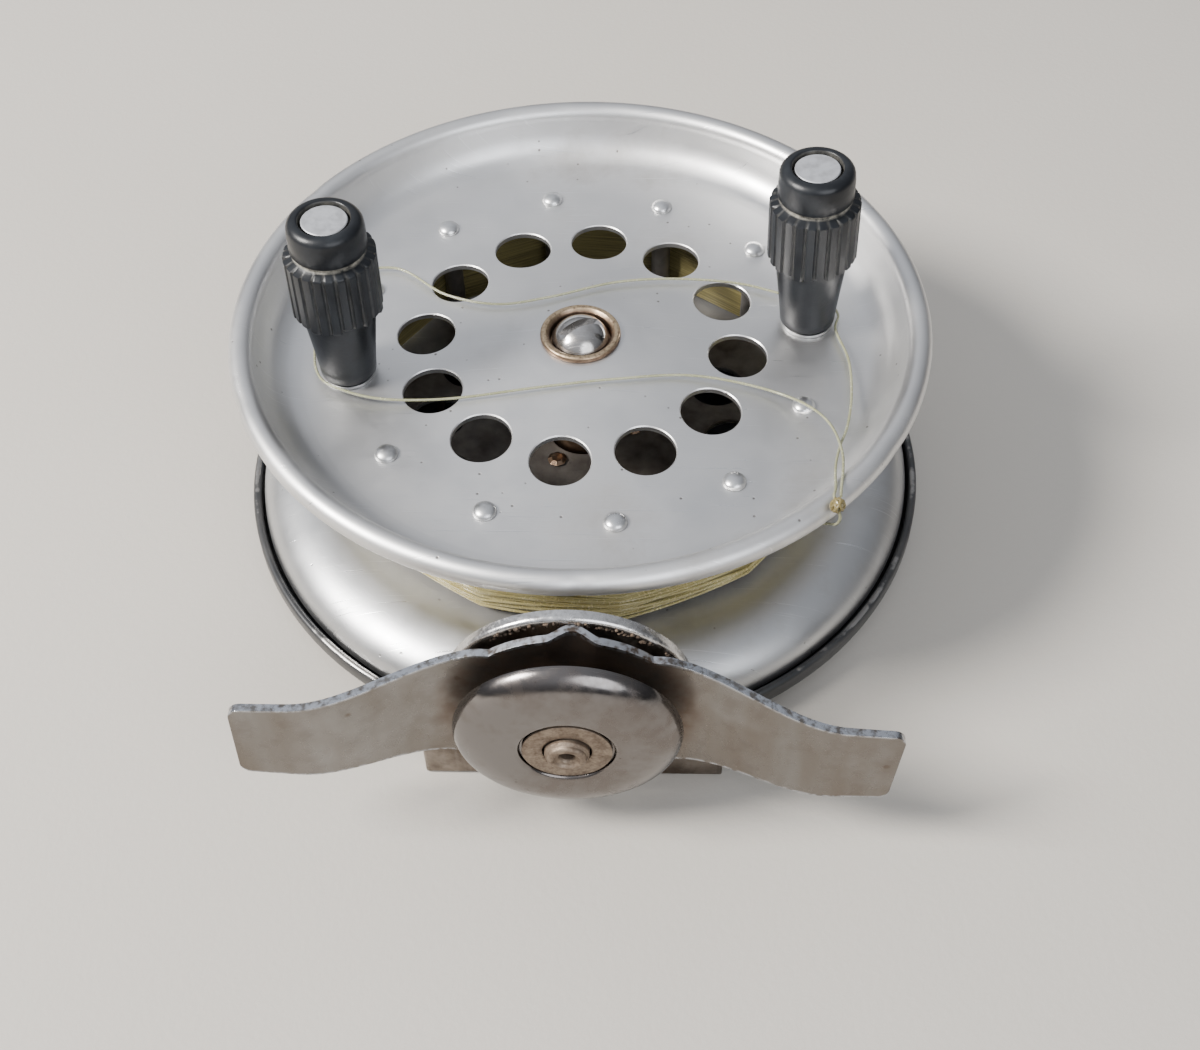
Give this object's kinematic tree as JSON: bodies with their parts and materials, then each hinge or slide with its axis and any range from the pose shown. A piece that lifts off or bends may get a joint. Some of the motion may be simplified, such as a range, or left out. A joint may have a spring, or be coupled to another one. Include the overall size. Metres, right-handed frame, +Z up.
{
  "type": "fishing reel",
  "caption": "Side-casting centre-pin line reel: a vented cage spool with two handles turning over a shallow back plate, on a winged rod foot that swivels on a sprung pivot.",
  "frame": {"origin": "on the spool's axis, in the flat underside of the strap and the spindle's flush riveted end, on which the reel rests", "axes": "+Z up along the spool's axis towards the handles; -Y towards the rod foot; the foot's wings run along X"},
  "size_m": [0.1038, 0.1167, 0.057],
  "materials": {
    "black_enamel": "semi-gloss black enamel on pressed steel, worn to bare metal along the edge",
    "bracket_chrome": "worn plating with dirt in the corners",
    "plain_steel": "turned, slightly dull",
    "chrome": "polished plating with fine scratches",
    "spun_aluminium": "satin, handled, finely scratched and pitted",
    "pillar_aluminium": "bright turned rod",
    "brass": "tarnished, polished on the high edges",
    "bakelite": "moulded, semi-gloss, dusty between the ribs",
    "nylon_line": "translucent yellow-olive monofilament",
    "spring_steel": "dull and oxidised",
    "foot_steel": "plated strip, rubbed and brown-grey",
    "tarnished_steel": "brown oxide with a rubbed rim"
  },
  "bodies": {
    "frame": {"back_plate": "black_enamel", "foot_bracket": "bracket_chrome", "bracket_rivet_1": "plain_steel", "bracket_rivet_2": "plain_steel", "bracket_rivet_3": "plain_steel", "bracket_rivet_4": "plain_steel", "spindle": "plain_steel", "thrust_washer": "plain_steel", "spool_screw": "chrome", "pawl_post": "plain_steel", "click_spring": "spring_steel", "click_spring_rivet": "plain_steel"},
    "spool": {"front_flange": "spun_aluminium", "rear_flange": "spun_aluminium", "hub_bush": "brass", "line_pack": "nylon_line", "pillar_1": "pillar_aluminium", "pillar_2": "pillar_aluminium", "pillar_3": "pillar_aluminium", "pillar_4": "pillar_aluminium", "pillar_5": "pillar_aluminium", "pillar_6": "pillar_aluminium", "pillar_7": "pillar_aluminium", "pillar_8": "pillar_aluminium", "pillar_9": "pillar_aluminium", "pillar_10": "pillar_aluminium", "handle_spindle_left": "pillar_aluminium", "handle_spindle_right": "pillar_aluminium", "handle_washer_left": "plain_steel", "handle_washer_right": "plain_steel", "click_gear": "brass", "gear_rivet_1": "brass", "gear_rivet_2": "brass", "gear_rivet_3": "brass", "loose_line": "nylon_line", "line_knot": "nylon_line"},
    "left_handle": {"grip_left": "bakelite"},
    "right_handle": {"grip_right": "bakelite"},
    "pawl": {"click_pawl": "brass"},
    "swivel": {"foot_washer": "tarnished_steel", "pivot_pin": "tarnished_steel", "swivel_spring": "spring_steel", "spring_cap": "chrome", "cap_washer": "tarnished_steel"},
    "rod_foot": {"foot": "foot_steel"}
  },
  "joints": [
    {"name": "spool_spin", "type": "hinge", "parent": "frame", "child": "spool", "pos_m": [0, 0, 0.02], "axis": [0, 0, 1], "continuous": true},
    {"name": "left_handle_spin", "type": "hinge", "parent": "spool", "child": "left_handle", "pos_m": [-0.03324, -0.00556, 0.029], "axis": [0.0166, 0, 0.9999], "continuous": true},
    {"name": "right_handle_spin", "type": "hinge", "parent": "spool", "child": "right_handle", "pos_m": [0.03324, 0.00556, 0.029], "axis": [-0.0332, 0, 0.9995], "continuous": true},
    {"name": "pawl_rock", "type": "hinge", "parent": "frame", "child": "pawl", "pos_m": [-0.01177, 0.01427, 0.0088], "axis": [0, 0, 1], "range_deg": [-4, 4], "stiffness_Nm_per_rad": 0.0002},
    {"name": "foot_swivel", "type": "hinge", "parent": "frame", "child": "swivel", "pos_m": [0, -0.0573, 0.02], "axis": [0, 1, 0], "range_deg": [-3.2, 86.8]},
    {"name": "foot_lift", "type": "slide", "parent": "swivel", "child": "rod_foot", "axis": [0, -1, 0], "range_m": [0, 0.002], "stiffness_N_per_m": 900, "springref_m": -0.004, "deforming": ["swivel_spring"]}
  ]
}
